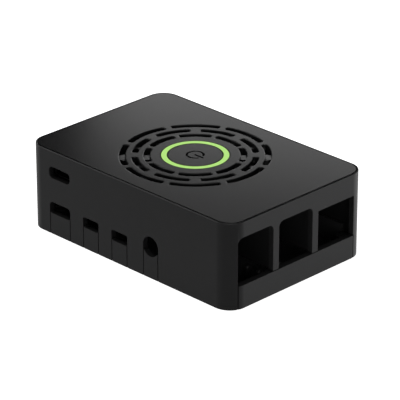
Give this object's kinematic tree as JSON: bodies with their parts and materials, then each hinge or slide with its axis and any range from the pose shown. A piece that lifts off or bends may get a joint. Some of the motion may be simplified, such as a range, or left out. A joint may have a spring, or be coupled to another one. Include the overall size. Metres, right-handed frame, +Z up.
{
  "type": "single board computer enclosure",
  "caption": "Black plastic enclosure for a credit-card-size computer board, with a sprung power button in a lit green ring, a slotted lid over a cooling fan, and open ports.",
  "frame": {"origin": "middle of the underside, on the table", "axes": "+X along the length towards the end with the double ports and the network port, -Y towards the long side with the small ports, +Z up"},
  "size_m": [0.0936, 0.0624, 0.03],
  "materials": {
    "case_black": "fine satin moulded grain",
    "lid_black": "fine satin moulded grain",
    "button_black": "fine satin moulded grain",
    "inner_black": "moulded",
    "fan_black": "moulded",
    "chip_black": "moulded",
    "green_light": "translucent, lit from below",
    "lamp_white": "clear",
    "circuit_green": "lacquered",
    "plug_cream": "moulded",
    "ribbon_grey": "smooth",
    "cable_black": "smooth",
    "bright_steel": "polished",
    "dark_steel": "dark plated",
    "screw_steel": "zinc plated",
    "magnet_grey": "sintered",
    "copper_wire": "enamelled copper",
    "bearing_brass": "oiled sintered bronze"
  },
  "bodies": {
    "base": {"base_tray": "case_black", "case_screws": "screw_steel"},
    "shell": {"body_shell": "case_black"},
    "lid": {"top_cover": "lid_black", "light_ring": "green_light", "switch_body": "inner_black", "switch_dome": "bright_steel", "button_board": "circuit_green", "ring_lights": "lamp_white", "button_board_screws": "screw_steel", "power_board": "circuit_green", "power_inlet": "dark_steel", "inlet_tongue": "inner_black", "board_chips": "chip_black", "header_socket": "inner_black", "power_board_screws": "screw_steel", "fan_frame": "fan_black", "fan_bearing": "bearing_brass", "fan_stator": "copper_wire", "fan_circuit": "circuit_green", "fan_screws": "screw_steel", "fan_lead": "cable_black", "fan_plug": "plug_cream", "link_ribbon": "ribbon_grey", "link_sockets": "plug_cream"},
    "button": {"power_button": "button_black", "switch_plunger": "inner_black"},
    "rotor": {"fan_rotor": "fan_black", "fan_shaft": "bright_steel", "fan_magnet": "magnet_grey"}
  },
  "joints": [
    {"name": "shell_lift", "type": "slide", "parent": "base", "child": "shell", "axis": [0, 0, 1], "range_m": [0, 0.04]},
    {"name": "lid_lift", "type": "slide", "parent": "shell", "child": "lid", "axis": [0, 0, 1], "range_m": [0, 0.03]},
    {"name": "button_press", "type": "slide", "parent": "lid", "child": "button", "axis": [0, 0, -1], "range_m": [0, 0.0005], "stiffness_N_per_m": 1500, "springref_m": -0.0002},
    {"name": "fan_spin", "type": "hinge", "parent": "lid", "child": "rotor", "pos_m": [0, 0, 0.019], "axis": [0, 0, 1], "continuous": true}
  ]
}
